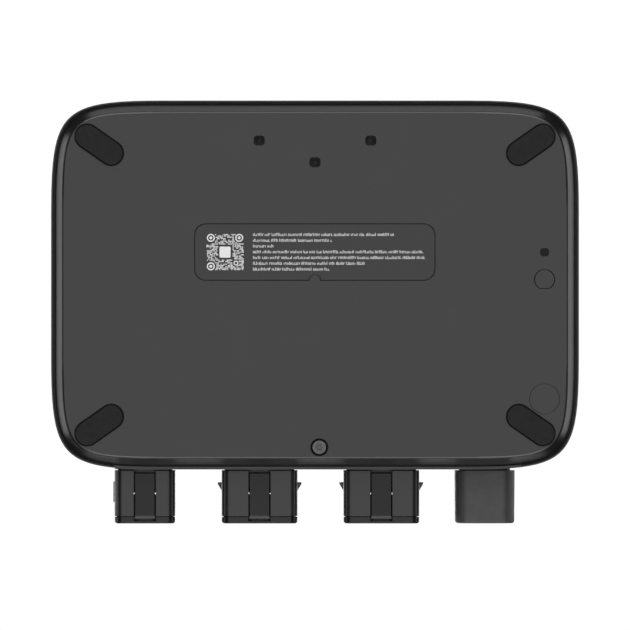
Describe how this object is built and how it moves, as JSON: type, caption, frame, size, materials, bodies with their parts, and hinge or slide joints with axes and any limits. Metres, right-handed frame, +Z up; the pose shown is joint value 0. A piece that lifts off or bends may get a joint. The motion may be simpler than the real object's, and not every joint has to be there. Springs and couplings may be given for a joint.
{
  "type": "vehicle battery charger",
  "caption": "Flat sealed vehicle battery charger: rounded dark case with a finned top, rubber feet, bracket holes, a label, and latching plug-in ports along one side.",
  "frame": {"origin": "centre of the whole footprint, ports included, in the plane that the rubber feet stand on", "axes": "+Z up from the feet, -Y out of the ports, +X along the long side to the right when looking at the ports from the front"},
  "size_m": [0.2644, 0.212, 0.0625],
  "materials": {
    "cover_plastic": "fine spark-eroded satin",
    "capacitor": "sleeved can",
    "shell_plastic": "fine spark-eroded satin",
    "chip_epoxy": "moulded epoxy",
    "circuit_board": "solder mask",
    "contact_copper": "plated",
    "ferrite": "sintered",
    "fuse_body": "moulded",
    "black_anodised": "black anodised",
    "insulator": "moulded",
    "label": "printed film",
    "led": "clear",
    "lens": "smoked",
    "port_plastic": "satin",
    "ribbon": "ribbed",
    "rubber": "matt",
    "screw_steel": "black oxide",
    "silicone": "matt",
    "thermal_pad": "soft",
    "winding": "enamelled wire",
    "zinc_steel": "bright zinc"
  },
  "bodies": {
    "charger": {"bottom_cover": "cover_plastic", "case_shell": "shell_plastic", "heat_sink": "black_anodised", "cover_gasket": "rubber", "heat_sink_gasket": "rubber", "port_panel": "port_plastic", "foot_front_left": "rubber", "foot_front_right": "rubber", "foot_rear_left": "rubber", "foot_rear_right": "rubber", "cover_screw_front": "screw_steel", "hidden_cover_screws": "screw_steel", "top_screws": "screw_steel", "label_plate": "label", "access_plug": "cover_plastic", "button_dome": "silicone", "indicator_lens": "lens", "bracket_inserts": "screw_steel", "latch_pins": "zinc_steel", "signal_port_housing": "port_plastic", "signal_port_insulator": "insulator", "signal_port_contacts": "contact_copper", "port_flange_gaskets": "rubber", "port_flange_screws": "zinc_steel", "main_board": "circuit_board", "board_screws": "zinc_steel", "magnetics_cores": "ferrite", "magnetics_windings": "winding", "power_transistors": "chip_epoxy", "thermal_pads": "thermal_pad", "bulk_capacitors": "capacitor", "input_fuse": "fuse_body", "control_chips": "chip_epoxy", "busbars": "contact_copper", "interface_board": "circuit_board", "radio_module": "zinc_steel", "status_led": "led", "ribbon_cables": "ribbon", "input_port_housing": "port_plastic", "input_port_mouth_ring": "silicone", "input_port_insulator": "insulator", "input_port_contacts": "contact_copper", "input_port_latch_spring": "zinc_steel", "output_port_a_housing": "port_plastic", "output_port_a_mouth_ring": "silicone", "output_port_a_insulator": "insulator", "output_port_a_contacts": "contact_copper", "output_port_a_latch_spring": "zinc_steel", "output_port_b_housing": "port_plastic", "output_port_b_mouth_ring": "silicone", "output_port_b_insulator": "insulator", "output_port_b_contacts": "contact_copper", "output_port_b_latch_spring": "zinc_steel"},
    "input_port_latch": {"input_port_latch": "port_plastic"},
    "output_port_a_latch": {"output_port_a_latch": "port_plastic"},
    "output_port_b_latch": {"output_port_b_latch": "port_plastic"},
    "pairing_button": {"pairing_button": "cover_plastic"},
    "signal_port_cap": {"signal_port_cap": "rubber"}
  },
  "joints": [
    {"name": "input_port_latch_hinge", "type": "hinge", "parent": "charger", "child": "input_port_latch", "pos_m": [0.0854, -0.09087, 0.0199], "axis": [1, 0, 0], "range_deg": [0, 7], "stiffness_Nm_per_rad": 0.4, "springref_deg": -2.86, "deforming": ["input_port_latch_spring"]},
    {"name": "output_port_a_latch_hinge", "type": "hinge", "parent": "charger", "child": "output_port_a_latch", "pos_m": [0.02785, -0.09087, 0.0199], "axis": [1, 0, 0], "range_deg": [0, 7], "stiffness_Nm_per_rad": 0.4, "springref_deg": -2.86, "deforming": ["output_port_a_latch_spring"]},
    {"name": "output_port_b_latch_hinge", "type": "hinge", "parent": "charger", "child": "output_port_b_latch", "pos_m": [-0.0333, -0.09087, 0.0199], "axis": [1, 0, 0], "range_deg": [0, 7], "stiffness_Nm_per_rad": 0.4, "springref_deg": -2.86, "deforming": ["output_port_b_latch_spring"]},
    {"name": "pairing_button_press", "type": "slide", "parent": "charger", "child": "pairing_button", "axis": [0, 0, 1], "range_m": [0, 0.0007], "stiffness_N_per_m": 1500, "springref_m": -0.0004, "deforming": ["button_dome"]},
    {"name": "signal_port_cap_pull", "type": "slide", "parent": "charger", "child": "signal_port_cap", "axis": [0, -1, 0], "range_m": [0, 0.035]}
  ]
}
